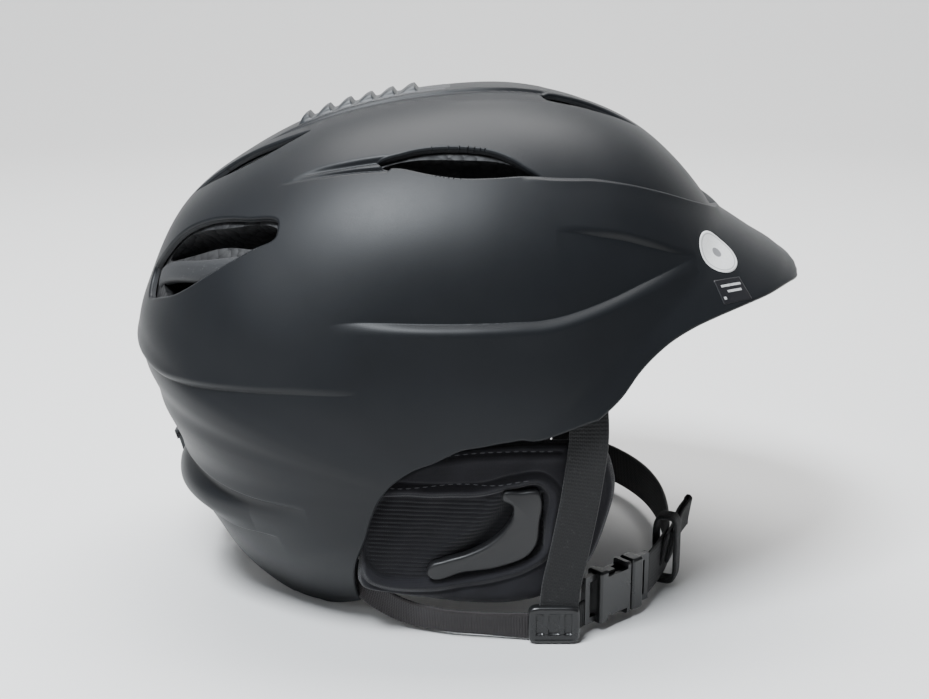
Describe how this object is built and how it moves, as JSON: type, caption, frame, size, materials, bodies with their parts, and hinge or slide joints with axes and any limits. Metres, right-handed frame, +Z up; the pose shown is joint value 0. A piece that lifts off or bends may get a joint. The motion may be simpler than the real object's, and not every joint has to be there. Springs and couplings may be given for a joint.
{
  "type": "ski helmet",
  "caption": "Hard-shell ski helmet with short brim, crown vent slider, side and rear vents, foam liner, fit dial, soft ear pads and buckled chin strap.",
  "frame": {"origin": "middle of the footprint on the surface the helmet stands on", "axes": "+X forward through the brim, +Y to the wearer's left, +Z up"},
  "size_m": [0.2768, 0.2132, 0.2042],
  "materials": {
    "shell_plastic": "fine matt moulded plastic, dark charcoal",
    "slider_plastic": "matt moulded plastic",
    "foam": "moulded expanded foam beads, black",
    "liner_fabric": "brushed knit fabric over thin foam",
    "ear_fabric": "smooth and ribbed knit fabric",
    "webbing": "woven nylon webbing",
    "grey_elastic": "finely ribbed elastic tape",
    "black_plastic": "smooth moulded plastic",
    "grey_plastic": "satin moulded plastic",
    "rubber": "soft matt rubber",
    "steel": "plated steel"
  },
  "bodies": {
    "helmet": {"outer_shell": "shell_plastic", "eps_liner": "foam", "brow_pad": "liner_fabric", "crown_pad": "liner_fabric", "side_pad_right": "liner_fabric", "side_pad_left": "liner_fabric", "rear_pad_right": "liner_fabric", "rear_pad_left": "liner_fabric", "front_strap_right": "webbing", "front_strap_left": "webbing", "socket_strap": "webbing", "chin_strap": "webbing", "strap_tail": "webbing", "rear_strap_right": "grey_elastic", "rear_strap_left": "grey_elastic", "strap_divider_right": "black_plastic", "strap_divider_left": "black_plastic", "buckle_socket": "black_plastic", "dial_housing": "black_plastic", "dial_cover": "black_plastic", "goggle_flap_posts": "black_plastic", "strap_keeper": "rubber", "strap_rivets_right": "steel", "strap_rivets_left": "steel", "dial_rivets": "steel", "goggle_flap_pin": "steel", "goggle_snap_stud": "steel"},
    "vent_control": {"vent_slider": "slider_plastic", "vent_shutter": "black_plastic"},
    "dial": {"fit_dial": "black_plastic", "dial_pinion": "black_plastic"},
    "nape_right": {"fit_band_right": "black_plastic", "nape_pad_right": "liner_fabric"},
    "nape_left": {"fit_band_left": "black_plastic", "nape_pad_left": "liner_fabric"},
    "goggle_retainer": {"goggle_flap": "rubber", "goggle_snap_cap": "steel"},
    "ear_right": {"ear_pad_right": "ear_fabric", "ear_pad_plate_right": "black_plastic", "ear_pad_clip_right": "grey_plastic"},
    "ear_left": {"ear_pad_left": "ear_fabric", "ear_pad_plate_left": "black_plastic", "ear_pad_clip_left": "grey_plastic"},
    "plug": {"buckle_plug": "black_plastic"},
    "prong_lower": {"buckle_prong_lower": "black_plastic"},
    "prong_upper": {"buckle_prong_upper": "black_plastic"}
  },
  "joints": [
    {"name": "vent_slide", "type": "slide", "parent": "helmet", "child": "vent_control", "axis": [0.9686, 0, 0.2487], "range_m": [0, 0.007]},
    {"name": "dial_turn", "type": "hinge", "parent": "helmet", "child": "dial", "pos_m": [-0.102, 0, 0.024], "axis": [-1, 0, 0], "range_deg": [0, 95]},
    {"name": "band_right_slide", "type": "slide", "parent": "helmet", "child": "nape_right", "axis": [0, 1, 0], "range_m": [0, 0.01]},
    {"name": "band_left_slide", "type": "slide", "parent": "helmet", "child": "nape_left", "axis": [0, -1, 0], "range_m": [0, 0.01]},
    {"name": "goggle_flap_swing", "type": "hinge", "parent": "helmet", "child": "goggle_retainer", "pos_m": [-0.12324, 0, 0.05606], "axis": [0, 1, 0], "range_deg": [0, 110]},
    {"name": "ear_right_fold", "type": "hinge", "parent": "helmet", "child": "ear_right", "pos_m": [0, -0.086, 0.08], "axis": [1, 0, 0], "range_deg": [0, 10]},
    {"name": "ear_left_fold", "type": "hinge", "parent": "helmet", "child": "ear_left", "pos_m": [0, 0.086, 0.08], "axis": [-1, 0, 0], "range_deg": [0, 10]},
    {"name": "buckle_release", "type": "slide", "parent": "helmet", "child": "plug", "axis": [0.7413, 0.6712, 0], "range_m": [0, 0.013], "deforming": ["chin_strap"]},
    {"name": "prong_lower_squeeze", "type": "hinge", "parent": "plug", "child": "prong_lower", "pos_m": [0.06548, -0.07316, 0.0078], "axis": [-0.6712, 0.7413, 0], "range_deg": [0, 13]},
    {"name": "prong_upper_squeeze", "type": "hinge", "parent": "plug", "child": "prong_upper", "pos_m": [0.06548, -0.07316, 0.0202], "axis": [0.6712, -0.7413, 0], "range_deg": [0, 13]}
  ],
  "couplings": [
    {"joint": "band_right_slide", "follows": "dial_turn", "m_per_rad": 0.005},
    {"joint": "band_left_slide", "follows": "dial_turn", "m_per_rad": 0.005},
    {"joint": "prong_lower_squeeze", "follows": "buckle_release", "rad_per_m": 16.4},
    {"joint": "prong_upper_squeeze", "follows": "buckle_release", "rad_per_m": 16.4}
  ]
}
